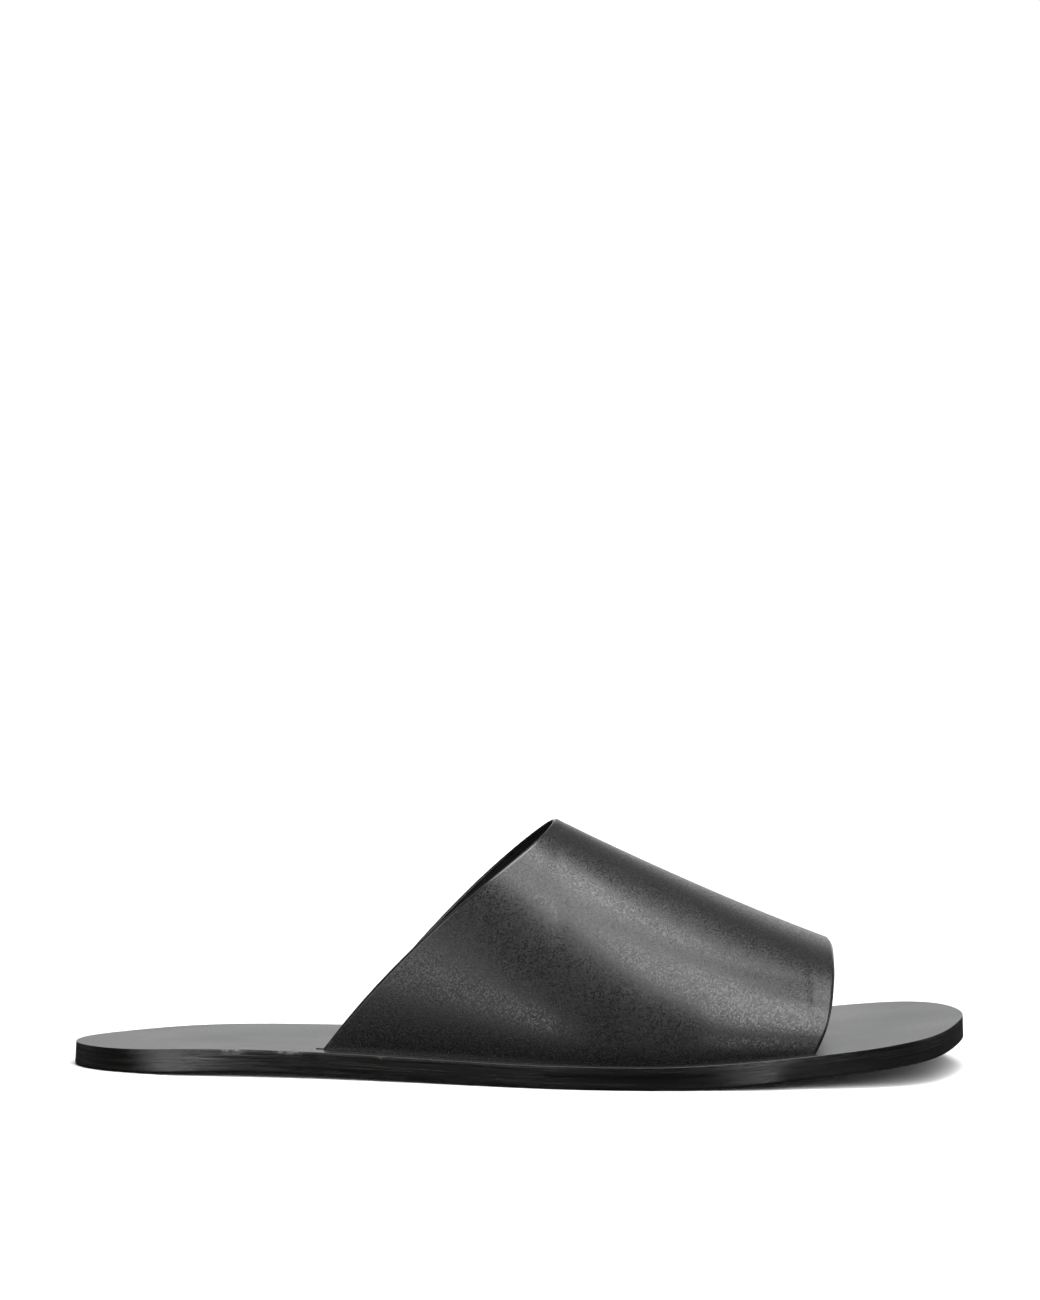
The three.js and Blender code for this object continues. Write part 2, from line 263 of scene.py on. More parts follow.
def along_slot(station, side):
    edges = BAND_EDGES[side]
    return np.clip((station / SOLE_LENGTH - edges["back"]) / (edges["front"] - edges["back"]), 0, 1)


def slot_reach_at(station, side):
    """Where the band's outer skin leaves the insole, from the centre line."""
    inset = mix(SLOT_INSET_BACK, SLOT_INSET_FRONT, along_slot(station, side))
    return reach_at(station, side) - inset


def ridge_height_at(station):
    throat = THROAT_STATION * SOLE_LENGTH
    toe = TOE_OPENING_STATION * SOLE_LENGTH
    throat_top = footbed_at(throat) + THROAT_HEIGHT
    toe_top = footbed_at(toe) + TOE_OPENING_HEIGHT
    share = (station - throat) / (toe - throat)
    sag = 4 * RIDGE_SAG * share * (1 - np.maximum(0, share))
    return mix(throat_top, toe_top, share) - sag


def band_station(side, up, forward):
    edges = BAND_EDGES[side]
    rise = edges["rake"] * up * (1 - up) ** 2 + up * up * (3 - 2 * up)
    back = mix(edges["back"], THROAT_STATION, rise + edges["swell"] * (up * (1 - up)) ** 2)
    tuck = 1 - np.maximum(0, 1 - up / FRONT_TUCK) ** 2
    bow = FRONT_BOW * np.sin(np.pi * up) ** 2
    front = mix(edges["front"], TOE_OPENING_STATION, tuck) + bow
    return SOLE_LENGTH * mix(back, front, forward)


def band_point(side, up, forward):
    """A point on the band's outer skin: up from slot to ridge, forward from back to front."""
    station = band_station(side, up, forward)
    share = station / SOLE_LENGTH
    section = np.clip((share - THROAT_STATION) / (TOE_OPENING_STATION - THROAT_STATION), 0, 1)
    section_value = {
        key: mix(THROAT_SECTION[key], TOE_SECTION[key], section) for key in THROAT_SECTION
    }
    ridge = BALL_WIDTH * section_value["ridge"]
    slot = side * slot_reach_at(station, side)
    floor = footbed_at(station)
    top = ridge_height_at(station)
    steep = section_value["side"] * (top - floor)
    shoulder = section_value["shoulder"] * (slot - ridge)
    bulge = np.sqrt(np.sin(np.pi * along_slot(station, side)))
    lean = side * SIDE_LEAN * steep * bulge
    down = 1 - up
    weights = (down ** 3, 3 * up * down ** 2, 3 * up * up * down, up ** 3)
    across = (
        weights[0] * slot + weights[1] * (slot + lean) + weights[2] * (ridge + shoulder) + weights[3] * ridge
    )
    height = weights[0] * floor + weights[1] * (floor + steep) + (weights[2] + weights[3]) * top
    return np.stack([station, across, height], axis=-1)


# Meshes

def outline_ring(angles):
    """The outline as points with outward directions: up the lateral side, back down the medial."""
    inner = angles[1:-1][::-1]
    turn = np.concatenate([angles, inner])
    side = np.concatenate([np.full(len(angles), LATERAL), np.full(len(inner), MEDIAL)])
    reach = np.where(side == LATERAL, REACH[LATERAL](turn), REACH[MEDIAL](turn))
    ring = np.stack([SOLE_LENGTH * (1 - np.cos(turn)) / 2, side * BALL_WIDTH * reach], axis=-1)
    along = np.roll(ring, -1, axis=0) - np.roll(ring, 1, axis=0)
    along /= np.linalg.norm(along, axis=1, keepdims=True)
    outward = np.stack([along[:, 1], -along[:, 0]], axis=-1)
    return ring, outward


even_angles = np.linspace(0, np.pi, SOLE_STATIONS + 1)
whole_ring, whole_outward = outline_ring(even_angles)
lower_edge = whole_ring + whole_outward * flare_at(LOWER_EDGE_ROUNDING)
middle_y = (lower_edge[:, 1].min() + lower_edge[:, 1].max()) / 2
MODEL_TO_FRAME = np.array([-SOLE_LENGTH / 2, -middle_y, 0.0])


def to_frame(points):
    """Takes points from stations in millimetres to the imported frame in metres."""
    return (np.asarray(points, float) + MODEL_TO_FRAME) * MM


def make_piece(name, points, faces, materials, face_materials, uvs=None, wear=None):
    """Makes a mesh object. uvs is one list of corner places per face, wear one share per point."""
    mesh = bpy.data.meshes.new(name)
    mesh.from_pydata(to_frame(points).tolist(), [], faces)
    for material in materials:
        mesh.materials.append(material)
    mesh.polygons.foreach_set("material_index", face_materials)
    mesh.polygons.foreach_set("use_smooth", [True] * len(faces))
    if uvs is not None:
        layer = mesh.uv_layers.new(name="wall")
        layer.data.foreach_set("uv", np.concatenate([np.ravel(uv) for uv in uvs]))
    if wear is not None:
        attribute = mesh.attributes.new("wear", "FLOAT", "POINT")
        attribute.data.foreach_set("value", wear)
    mesh.update()
    mesh.set_sharp_from_angle(angle=math.radians(SHARP_DEGREES))
    piece = bpy.data.objects.new(name, mesh)
    bpy.context.scene.collection.objects.link(piece)
    return piece


def slot_ends(side):
    """The stations at which a slot begins and ends."""
    edges = BAND_EDGES[side]
    start = SOLE_LENGTH * edges["back"] - SLOT_OVERRUN
    end = SOLE_LENGTH * edges["front"] + SLOT_CLEARANCE
    return start, end


def angles_with_slots():
    """The outline's even angles, with one at each end of the slots in place of its neighbours."""
    stations = [*slot_ends(LATERAL), *slot_ends(MEDIAL)]
    ends = [angle_at(station / SOLE_LENGTH) for station in stations]
    spaced = [a for a in even_angles if min(abs(a - end) for end in ends) > SLOT_END_SPACING]
    return np.sort(np.concatenate([spaced, ends]))


def wall_points(ring, outward, levels):
    """The points of a layer's wall, one ring for each level."""
    rounding = edge_rounding(ring)
    lean = wall_lean(ring)
    points = []
    for level in levels:
        out = level["out"] + flare_at(level["height"], lean)
        inward = rounding * level.get("round_in", 0.0)
        flat = ring + outward * (out - inward)[:, None]
        height = underside_at(flat[:, 0]) + level["height"] - rounding * level.get("round_down", 0.0)
        points.extend(np.column_stack([flat, height]))
    return points


def press_nicks(points, ring, outward, levels, nicks):
    """Presses the nicks into the wall's points and returns how worn each point is."""
    around = len(ring)
    worn = np.zeros((len(levels), around))
    for nick in nicks:
        near = np.exp(-(((ring[:, 0] - nick["station"]) / nick["length"]) ** 2))
        for k, level in enumerate(levels):
            high = math.exp(-(((level["height"] - SOLE_THICKNESS) / nick["height"]) ** 2))
            share = np.where(ring[:, 1] < 0, near * high, 0.0)
            worn[k] = np.maximum(worn[k], share)
            for i in np.flatnonzero(share > NICK_LEAST):
                point = points[k * around + i]
                point[:2] -= outward[i] * nick["depth"] * share[i]
                point[2] -= NICK_DROP * nick["depth"] * share[i]
    return worn.ravel()


def strip_shares(near, far, station):
    """Where strips across the sole begin and end, as shares of the way from near to far.

    The second strip from either edge is the one that a slot is cut from.
    """
    width = far[1] - near[1]
    shares = {}
    for side, edge in ((LATERAL, near), (MEDIAL, far)):
        reach = float(reach_at(station, side))
        inset = reach - float(slot_reach_at(station, side))
        outer = min(inset - SLOT_CLEARANCE, OUTER_STRIP_MOST * width)
        inner = min(inset + BAND_WALL + SLOT_CLEARANCE, INNER_STRIP_MOST * width)
        border = abs(edge[1] - side * reach)
        shares[side] = (max(outer - border, OUTER_STRIP_LEAST * width) / width, inner / width)
    low_outer, low_inner = shares[LATERAL]
    high_outer, high_inner = shares[MEDIAL]
    middle = np.linspace(low_inner, 1 - high_inner, FOOTBED_STRIPS + 1)
    return [0.0, low_outer, *middle, 1 - high_outer, 1.0]


class LayerMesh:
    """A layer of the sole under construction, from its wall's points, one ring for each level."""

    TOP = 0
    WALL = 1
    UNDERSIDE = 2

    def __init__(self, angles, points):
        self.angles = angles
        self.around = 2 * len(angles) - 2
        self.points = points
        self.faces = []
        self.kinds = []
        self.uvs = []

    def add(self, face, kind, uv):
        self.faces.append(face)
        self.kinds.append(kind)
        self.uvs.append(uv)

    def add_wall(self, ring, levels):
        """The wall's faces. Their UV runs round the sole and up, in metres."""
        gap = np.linalg.norm(ring - np.roll(ring, 1, axis=0), axis=1)
        perimeter = np.concatenate([[0.0], np.cumsum(gap[1:]), [gap.sum()]])
        for k in range(len(levels) - 1):
            low = levels[k]["height"] * MM
            high = levels[k + 1]["height"] * MM
            kind = self.TOP if levels[k + 1].get("top_skin") else self.WALL
            base = k * self.around
            above = base + self.around
            for i in range(self.around):
                after = (i + 1) % self.around
                here = perimeter[i] * MM
                there = perimeter[i + 1] * MM
                face = [base + i, base + after, above + after, above + i]
                self.add(face, kind, [(here, low), (there, low), (there, high), (here, high)])

    def close_across(self, base, height, kind, slots):
        """Closes the ring that starts at point base with strips, and returns their grid of points."""
        grid = []
        for row in range(1, len(self.angles) - 1):
            near = base + row
            far = base + (self.around - row) % self.around
            station = SOLE_LENGTH * (1 - math.cos(self.angles[row])) / 2
            line = [near]
            for share in strip_shares(self.points[near], self.points[far], station)[1:-1]:
                x = mix(self.points[near][0], self.points[far][0], share)
                y = mix(self.points[near][1], self.points[far][1], share)
                line.append(len(self.points))
                self.points.append(np.array([x, y, underside_at(x) + height]))
            line.append(far)
            grid.append(line)

        def add_flat(face):
            face = face if kind == self.TOP else face[::-1]
            self.add(face, kind, [(self.points[v][0] * MM, self.points[v][1] * MM) for v in face])

        strips = len(grid[0]) - 1
        for r in range(len(grid) - 1):
            for c in range(strips):
                if not (slots and self.is_slot(r + 1, c, strips)):
                    add_flat([grid[r][c], grid[r + 1][c], grid[r + 1][c + 1], grid[r][c + 1]])
        heel = base
        toe = base + len(self.angles) - 1
        for c in range(strips):
            add_flat([heel, grid[0][c], grid[0][c + 1]])
            add_flat([grid[-1][c], toe, grid[-1][c + 1]])
        return grid

    def is_slot(self, row, column, strips):
        """Whether a slot takes up this column's strip between this row and the next."""
        if column not in (1, strips - 2):
            return False
        start, end = slot_ends(LATERAL if column == 1 else MEDIAL)
        low = angle_at(start / SOLE_LENGTH) - SAME_ANGLE
        high = angle_at(end / SOLE_LENGTH) + SAME_ANGLE
        return low <= self.angles[row] and self.angles[row + 1] <= high

    def add_slot_walls(self, top, bottom):
        strips = len(top[0]) - 1
        for column in (1, strips - 2):
            cut = [r for r in range(len(top) - 1) if self.is_slot(r + 1, column, strips)]
            first, last = cut[0], cut[-1] + 1
            loop = [(r, column) for r in range(first, last)]
            loop += [(last, column), (last, column + 1)]
            loop += [(r, column + 1) for r in range(last - 1, first - 1, -1)]
            for here, after in zip(loop, loop[1:] + loop[:1]):
                face = [
                    top[here[0]][here[1]], top[after[0]][after[1]],
                    bottom[after[0]][after[1]], bottom[here[0]][here[1]],
                ]
                self.add(face, self.WALL, SLOT_WALL_UV)


def make_layer(name, levels, slots, materials, nicks=()):
    """A layer of the sole, from levels of height over the underside and distance out.

    The last level is the top. Slots are cut through where slots is true. materials are
    the top's, the wall's and the underside's.
    """
    angles = angles_with_slots() if slots else even_angles
    ring, outward = outline_ring(angles)
    points = wall_points(ring, outward, levels)
    worn = press_nicks(points, ring, outward, levels, nicks)
    layer = LayerMesh(angles, points)
    layer.add_wall(ring, levels)
    bottom = layer.close_across(0, levels[0]["height"], layer.UNDERSIDE, slots)
    last_ring = (len(levels) - 1) * len(ring)
    top = layer.close_across(last_ring, levels[-1]["height"], layer.TOP, slots)
    if slots:
        layer.add_slot_walls(top, bottom)
    wear = np.zeros(len(points))
    wear[:len(worn)] = worn
    return make_piece(name, points, layer.faces, materials, layer.kinds, layer.uvs, wear)


def wall_lean(ring):
    """How far the wall leans out at its foot, round the ring."""
    stations, leans = zip(*WALL_LEAN)
    lateral = np.interp(ring[:, 0], stations, leans)
    near_end = np.minimum(ring[:, 0], SOLE_LENGTH - ring[:, 0])
    medial = mix(MEDIAL_LEAN_AT_ENDS, MEDIAL_LEAN, np.clip(near_end / MEDIAL_LEAN_RUN, 0, 1))
    lean = np.where(ring[:, 1] < 0, lateral, medial)
    for _ in range(LEAN_SMOOTHING_ROUNDS):
        lean = (np.roll(lean, 1) + 2 * lean + np.roll(lean, -1)) / 4
    return lean


def edge_rounding(ring):
    """Radius of the insole's top edge round the ring: nearly sharp, and rubbed at the heel."""
    start = np.clip((ring[:, 0] - WORN_EDGE_START + WORN_EDGE_FADE) / WORN_EDGE_FADE, 0, 1)
    end = np.clip((WORN_EDGE_END + WORN_EDGE_FADE - ring[:, 0]) / WORN_EDGE_FADE, 0, 1)
    worn = np.where(ring[:, 1] < 0, np.minimum(start, end), 0.0)
    return mix(TOP_EDGE_ROUNDING, WORN_EDGE_ROUNDING, worn * worn * (3 - 2 * worn))


def make_outsole(materials):
    levels = [{"height": 0.0, "out": -2 * LOWER_EDGE_ROUNDING}]
    steps = 5
    for step in range(steps + 1):
        turn = 0.5 * math.pi * step / steps
        levels.append({
            "height": LOWER_EDGE_ROUNDING * (1 - math.cos(turn)),
            "out": -LOWER_EDGE_ROUNDING * (1 - math.sin(turn)),
        })
    levels += [{"height": height, "out": 0.0} for height in (0.8, 1.6, 2.4, 3.1, JOIN_HEIGHT)]
    return make_layer("outsole_leather", levels, False, materials)


def make_insole(materials):
    levels = [{"height": height, "out": 0.0} for height in (JOIN_HEIGHT, 4.2, 5.0, 5.7)]
    steps = 6
    for step in range(steps + 1):
        turn = 0.5 * math.pi * step / steps
        levels.append({
            "height": SOLE_THICKNESS,
            "out": 0.0,
            "round_in": 1 - math.cos(turn),
            "round_down": 1 - math.sin(turn),
        })
    levels.append({
        "height": SOLE_THICKNESS,
        "out": -FOOTBED_INSET,
        "round_in": 1.0,
        "top_skin": True,
    })
    return make_layer("insole_board", levels, True, materials, EDGE_NICKS)


def band_grid():
    """The band's outer skin as a grid of points, with the direction inwards at each.

    The rows run from the lateral slot over the ridge to the medial slot. Along the slots
    the wall stands upright.
    """
    climb = np.linspace(0, 1, BAND_ROWS_PER_SIDE + 1)
    sides = [(LATERAL, up) for up in climb] + [(MEDIAL, up) for up in climb[-2::-1]]
    columns = np.linspace(0, 1, BAND_COLUMNS + 1)
    rows = []
    for side, up in sides:
        length = band_station(side, up, 1.0) - band_station(side, up, 0.0)
        back_trim = mix(BACK_TRIM[side], sum(BACK_TRIM.values()) / 2, up ** 4)
        forward = mix(back_trim / length, 1 - FRONT_TRIM / length, columns)
        rows.append(band_point(side, np.full_like(forward, up), forward))
    outer = np.array(rows)
    outer = outer - inward_from(outer) * swell_heights(sides, outer)[..., None]
    inward = inward_from(outer)
    inward[0] = (0, -LATERAL, 0)
    inward[-1] = (0, -MEDIAL, 0)
    return outer, inward


def inward_from(grid):
    """The direction square to a grid of points at each of them, to the inside of the band."""
    across = np.gradient(grid, axis=0)
    along = np.gradient(grid, axis=1)
    inward = np.cross(across, along)
    return inward / np.linalg.norm(inward, axis=2, keepdims=True)


def swell_heights(sides, outer):
    """How far the leather stands out at each point of the grid, by BAND_SWELLS."""
    heights = np.zeros(outer.shape[:2])
    side_of_row = np.array([side for side, _ in sides])
    up_of_row = np.array([up for _, up in sides])
    for swell in BAND_SWELLS:
        start = band_point(swell["side"], *np.array(swell["start"]))
        end = band_point(swell["side"], *np.array(swell["end"]))
        run = end - start
        share = np.clip(((outer - start) @ run) / (run @ run), 0, 1)
        away = np.linalg.norm(outer - (start + share[..., None] * run), axis=2)
        fade = np.sin(np.pi * share)
        height = swell["height"] * np.exp(-((away / swell["width"]) ** 2)) * fade
        on_side = side_of_row == swell["side"]
        settle = np.clip(up_of_row / SWELL_FADE, 0, 1)
        heights += height * (on_side * settle)[:, None]
    return heights


def make_band(materials):
    """The band as one closed wall: outer skin, lining, cut edges and feet in the slots."""
    outer, inward = band_grid()
    inner = outer + inward * BAND_WALL
    foot_rows = []
    for skin in (outer, inner):
        feet = []
        for row in (0, -1):
            foot = skin[row].copy()
            foot[:, 2] = underside_at(outer[row][:, 0]) + FOOT_LEVEL
            feet.append(foot)
        foot_rows.append(feet)
    outer_all = np.concatenate([foot_rows[0][0][None], outer, foot_rows[0][1][None]])
    inner_all = np.concatenate([foot_rows[1][0][None], inner, foot_rows[1][1][None]])
    rows, columns = outer_all.shape[:2]
    points = np.concatenate([outer_all.reshape(-1, 3), inner_all.reshape(-1, 3)])
    inside = rows * columns
    faces = []
    kinds = []
    for r in range(rows - 1):
        for c in range(columns - 1):
            a = r * columns + c
            b = a + 1
            d = a + columns
            e = d + 1
            faces.append([a, b, e, d])
            kinds.append(0)
            faces.append([inside + d, inside + e, inside + b, inside + a])
            kinds.append(1)
        low, high = r * columns, (r + 1) * columns
        faces.append([low, high, inside + high, inside + low])
        kinds.append(2)
        low, high = low + columns - 1, high + columns - 1
        faces.append([high, low, inside + low, inside + high])
        kinds.append(2)
    last = (rows - 1) * columns
    for c in range(columns - 1):
        faces.append([c + 1, c, inside + c, inside + c + 1])
        kinds.append(1)
        faces.append([last + c, last + c + 1, inside + last + c + 1, inside + last + c])
        kinds.append(1)
    band = make_piece("band", points, faces, materials, kinds)
    return band, outer_all, inner_all


# The painted edge

def edge_paint_tree(material):
    """Geometry Nodes that lay a bead of edge paint, flat oval in section, along a path."""
    tree = bpy.data.node_groups.new("edge_paint_bead", "GeometryNodeTree")
    sockets = tree.interface
    sockets.new_socket("Path", in_out="INPUT", socket_type="NodeSocketGeometry")
    for name, default in (("Half thickness", 0.001), ("Depth", 0.0005)):
        socket = sockets.new_socket(name, in_out="INPUT", socket_type="NodeSocketFloat")
        socket.default_value = default
    facets = sockets.new_socket("Facets", in_out="INPUT", socket_type="NodeSocketInt")
    facets.default_value = 16
    sockets.new_socket("Bead", in_out="OUTPUT", socket_type="NodeSocketGeometry")

    nodes = tree.nodes
    links = tree.links
    given = nodes.new("NodeGroupInput")
    result = nodes.new("NodeGroupOutput")
    to_curve = nodes.new("GeometryNodeMeshToCurve")
    skin_direction = nodes.new("GeometryNodeInputNamedAttribute")
    skin_direction.data_type = "FLOAT_VECTOR"
    skin_direction.inputs["Name"].default_value = "skin_direction"
    turn = nodes.new("GeometryNodeSetCurveNormal")
    turn.mode = "FREE"
    circle = nodes.new("GeometryNodeCurvePrimitiveCircle")
    circle.inputs["Radius"].default_value = 1.0
    oval = nodes.new("GeometryNodeTransform")
    size = nodes.new("ShaderNodeCombineXYZ")
    size.inputs["Z"].default_value = 1.0
    sweep = nodes.new("GeometryNodeCurveToMesh")
    sweep.inputs["Fill Caps"].default_value = True
    smooth = nodes.new("GeometryNodeSetShadeSmooth")
    realize = nodes.new("GeometryNodeRealizeInstances")
    paint = nodes.new("GeometryNodeSetMaterial")
    paint.inputs["Material"].default_value = material

    links.new(given.outputs["Path"], to_curve.inputs["Mesh"])
    links.new(to_curve.outputs["Curve"], turn.inputs["Curve"])
    links.new(skin_direction.outputs["Attribute"], turn.inputs["Normal"])
    links.new(given.outputs["Facets"], circle.inputs["Resolution"])
    links.new(circle.outputs["Curve"], oval.inputs["Geometry"])
    links.new(given.outputs["Depth"], size.inputs["X"])
    links.new(given.outputs["Half thickness"], size.inputs["Y"])
    links.new(size.outputs["Vector"], oval.inputs["Scale"])
    links.new(turn.outputs["Curve"], sweep.inputs["Curve"])
    links.new(oval.outputs["Geometry"], sweep.inputs["Profile Curve"])
    links.new(sweep.outputs["Mesh"], smooth.inputs["Geometry"])
    links.new(smooth.outputs["Geometry"], realize.inputs["Geometry"])
    links.new(realize.outputs["Geometry"], paint.inputs["Geometry"])
    links.new(paint.outputs["Geometry"], result.inputs["Bead"])
    return tree


def make_edge_paint(outer, inner, material):
    """The bead of paint over the band's two cut edges, from slot to slot."""
    paths = []
    directions = []
    for column in (0, -1):
        paths.append((outer[:, column] + inner[:, column]) / 2)
        direction = outer[:, column] - inner[:, column]
        directions.append(direction / np.linalg.norm(direction, axis=1, keepdims=True))
    count = len(paths[0])
    edges = [(i, i + 1) for i in range(count - 1)]
    edges += [(count + i, count + i + 1) for i in range(count - 1)]
    path_mesh = bpy.data.meshes.new("edge_paint_path")
    path_mesh.from_pydata(to_frame(np.concatenate(paths)).tolist(), edges, [])
    attribute = path_mesh.attributes.new("skin_direction", "FLOAT_VECTOR", "POINT")
    attribute.data.foreach_set("vector", np.concatenate(directions).ravel())
    path = bpy.data.objects.new("edge_paint_path", path_mesh)
    bpy.context.scene.collection.objects.link(path)

    modifier = path.modifiers.new("bead", "NODES")
    tree = edge_paint_tree(material)
    modifier.node_group = tree
    sizes = {
        "Half thickness": (BAND_WALL / 2 + PAINT_LAP) * MM,
        "Depth": PAINT_DEPTH * MM,
        "Facets": PAINT_FACETS,
    }
    for item in tree.interface.items_tree:
        if item.in_out == "INPUT" and item.name in sizes:
            modifier[item.identifier] = sizes[item.name]
    return finish_nodes(path, "edge_paint")


def finish_nodes(maker, name):
    """Turns the result of a Geometry Nodes object into a plain mesh piece."""
    evaluated = maker.evaluated_get(bpy.context.evaluated_depsgraph_get())
    mesh = bpy.data.meshes.new_from_object(evaluated)
    mesh.name = name
    bpy.data.objects.remove(maker)
    piece = bpy.data.objects.new(name, mesh)
    bpy.context.scene.collection.objects.link(piece)
    return piece


# Materials

class Finish:
    """A material under construction, with short ways to add and join its nodes."""

    def __init__(self, name):
        self.material = bpy.data.materials.new(name)
        self.material.use_nodes = True
        self.nodes = self.material.node_tree.nodes
        self.links = self.material.node_tree.links
        self.shader = self.nodes["Principled BSDF"]
        self.place = self.nodes.new("ShaderNodeTexCoord")

    def gloss(self, level):
        """How strongly the surface mirrors: 0.5 is usual."""
        self.shader.inputs["Specular IOR Level"].default_value = level

    def stretch(self, source, scale):
        """Coordinates from source ("Object" or "UV") times scale."""
        mapping = self.nodes.new("ShaderNodeMapping")
        mapping.inputs["Scale"].default_value = scale
        self.links.new(self.place.outputs[source], mapping.inputs["Vector"])
        return mapping.outputs["Vector"]

    def even(self, per_metre):
        """Object coordinates that count so many steps a metre in every direction."""
        return self.stretch("Object", (per_metre, per_metre, per_metre))

    def noise(self, vector, detail=4.0, roughness=0.5):
        node = self.nodes.new("ShaderNodeTexNoise")
        node.inputs["Scale"].default_value = 1.0
        node.inputs["Detail"].default_value = detail
        node.inputs["Roughness"].default_value = roughness
        self.links.new(vector, node.inputs["Vector"])
        return node.outputs["Fac"]

    def cells(self, vector):
        """For many small cells, the distance to the middle and a chance value for the whole cell."""
        node = self.nodes.new("ShaderNodeTexVoronoi")
        node.inputs["Scale"].default_value = 1.0
        self.links.new(vector, node.inputs["Vector"])
        return node.outputs["Distance"], node.outputs["Color"]

    def spread(self, value, low, high, from_low=0.25, from_high=0.75):
        """Maps value from the span (from_low, from_high) to (low, high)."""
        node = self.nodes.new("ShaderNodeMapRange")
        node.inputs["From Min"].default_value = from_low
        node.inputs["From Max"].default_value = from_high
        node.inputs["To Min"].default_value = low
        node.inputs["To Max"].default_value = high
        self.links.new(value, node.inputs["Value"])
        return node.outputs["Result"]

    def add(self, first, second):
        return self.reckon("ADD", first, second)

    def times(self, first, second):
        return self.reckon("MULTIPLY", first, second)

    def reckon(self, operation, first, second):
        node = self.nodes.new("ShaderNodeMath")
        node.operation = operation
        self.links.new(first, node.inputs[0])
        self.links.new(second, node.inputs[1])
        return node.outputs["Value"]

    def attribute(self, name):
        """The mesh's own values of that name."""
        node = self.nodes.new("ShaderNodeAttribute")
        node.attribute_name = name
        return node.outputs["Fac"]

    def mix_colours(self, value, first, second):
        node = self.nodes.new("ShaderNodeMix")
        node.data_type = "RGBA"
        self.links.new(value, node.inputs["Factor"])
        for socket, colour in (("A", first), ("B", second)):
            if isinstance(colour, tuple):
                node.inputs[socket].default_value = (*colour, 1.0)
            else:
                self.links.new(colour, node.inputs[socket])
        return node.outputs["Result"]

    def tint(self, value, dark, light, wear=None, worn=None):
        """Colours from dark to light by value, and towards worn by wear."""
        colour = self.mix_colours(value, dark, light)
        if wear is not None:
            colour = self.mix_colours(wear, colour, worn)
        self.links.new(colour, self.shader.inputs["Base Color"])

    def rough(self, value):
        self.links.new(value, self.shader.inputs["Roughness"])

    def bump(self, value, depth):
        """Raises the surface by value times depth, in metres."""
        node = self.nodes.new("ShaderNodeBump")
        node.inputs["Distance"].default_value = depth
        self.links.new(value, node.inputs["Height"])
        self.links.new(node.outputs["Normal"], self.shader.inputs["Normal"])


def band_calf():
    """Fine-grained black calf with a soft satin sheen: each pebble of the grain has its own slope."""
    finish = Finish("band_calf")
    to_middle, chance = finish.cells(finish.even(2350))
    patches = finish.noise(finish.even(70), detail=3)
    uneven = finish.add(finish.spread(patches, 0, 0.3), finish.spread(chance, 0, 0.7, 0.2, 0.8))
    finish.tint(uneven, (0.005, 0.005, 0.005), (0.0008, 0.0008, 0.0008))
    finish.rough(finish.spread(uneven, 0.19, 0.42, 0, 1))
    finish.bump(finish.times(to_middle, finish.spread(chance, 0, 1, 0.3, 0.9)), 0.00005)
    return finish.material


def band_lining():
    """Matt black lining leather."""
    finish = Finish("band_lining")
    nap = finish.noise(finish.even(1800), detail=5, roughness=0.65)
    finish.tint(finish.spread(nap, 0, 1), (0.005, 0.005, 0.005), (0.009, 0.009, 0.009))
    finish.rough(finish.spread(nap, 0.62, 0.78))
    finish.bump(nap, 0.00005)
    finish.gloss(0.3)
    return finish.material


def edge_paint():
    """Black paint on the band's cut edges, a little uneven."""
    finish = Finish("edge_paint")
    runs = finish.noise(finish.even(420), detail=3)
    finish.tint(finish.spread(runs, 0, 1), (0.004, 0.004, 0.004), (0.008, 0.008, 0.008))
    finish.rough(finish.spread(runs, 0.18, 0.3))
    finish.bump(runs, 0.00006)
    return finish.material


def footbed_leather():
    """Smooth dyed leather of the insole's top."""
    finish = Finish("footbed_leather")
    pores = finish.noise(finish.even(3000), detail=3)
    sweep = finish.noise(finish.stretch("Object", (30, 60, 60)), detail=3)
    finish.tint(finish.spread(sweep, 0, 1), (0.007, 0.009, 0.0085), (0.011, 0.0135, 0.0125))
    finish.rough(finish.spread(finish.add(sweep, pores), 0.25, 0.33, 0.7, 1.3))
    finish.bump(pores, 0.000012)
    return finish.material


def burnished_edge():
    """The sole's wall: stained, waxed and rubbed along its length, and lighter where knocked."""
    finish = Finish("burnished_edge")
    streaks = finish.noise(finish.stretch("UV", (70, 3600, 1)), detail=3, roughness=0.6)
    bands = finish.noise(finish.stretch("UV", (14, 900, 1)), detail=2)
    specks = finish.noise(finish.even(1500), detail=3)
    lines = finish.add(streaks, bands)
    stain = finish.spread(lines, 0, 1, 0.75, 1.25)
    scuff = finish.times(finish.attribute("wear"), finish.spread(specks, 0, 1, 0.4, 0.6))
    finish.tint(stain, (0.001, 0.001, 0.001), (0.006, 0.006, 0.0055), scuff, (0.13, 0.125, 0.12))
    finish.rough(finish.spread(lines, 0.14, 0.28, 0.75, 1.25))
    finish.bump(lines, 0.00004)
    return finish.material


def tread_leather():
    """Matt black underside of the outsole."""
    finish = Finish("tread_leather")
    fibres = finish.noise(finish.even(900), detail=6, roughness=0.7)
    clouds = finish.noise(finish.even(45), detail=3)
    finish.tint(finish.spread(clouds, 0, 1), (0.012, 0.012, 0.012), (0.022, 0.021, 0.02))
    finish.rough(finish.spread(fibres, 0.55, 0.75))
    finish.bump(fibres, 0.00006)
    return finish.material


# The pieces

calf = band_calf()
lining = band_lining()
paint = edge_paint()
footbed = footbed_leather()
edge = burnished_edge()
tread = tread_leather()

outsole = make_outsole([edge, edge, tread])
insole = make_insole([footbed, edge, edge])
band, outer_skin, inner_skin = make_band([calf, lining, paint])
bead = make_edge_paint(outer_skin, inner_skin, paint)

for piece in (outsole, insole, band, bead):
    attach(piece, "root")
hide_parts("outsole")
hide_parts("insole")
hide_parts("upper")


# The studio

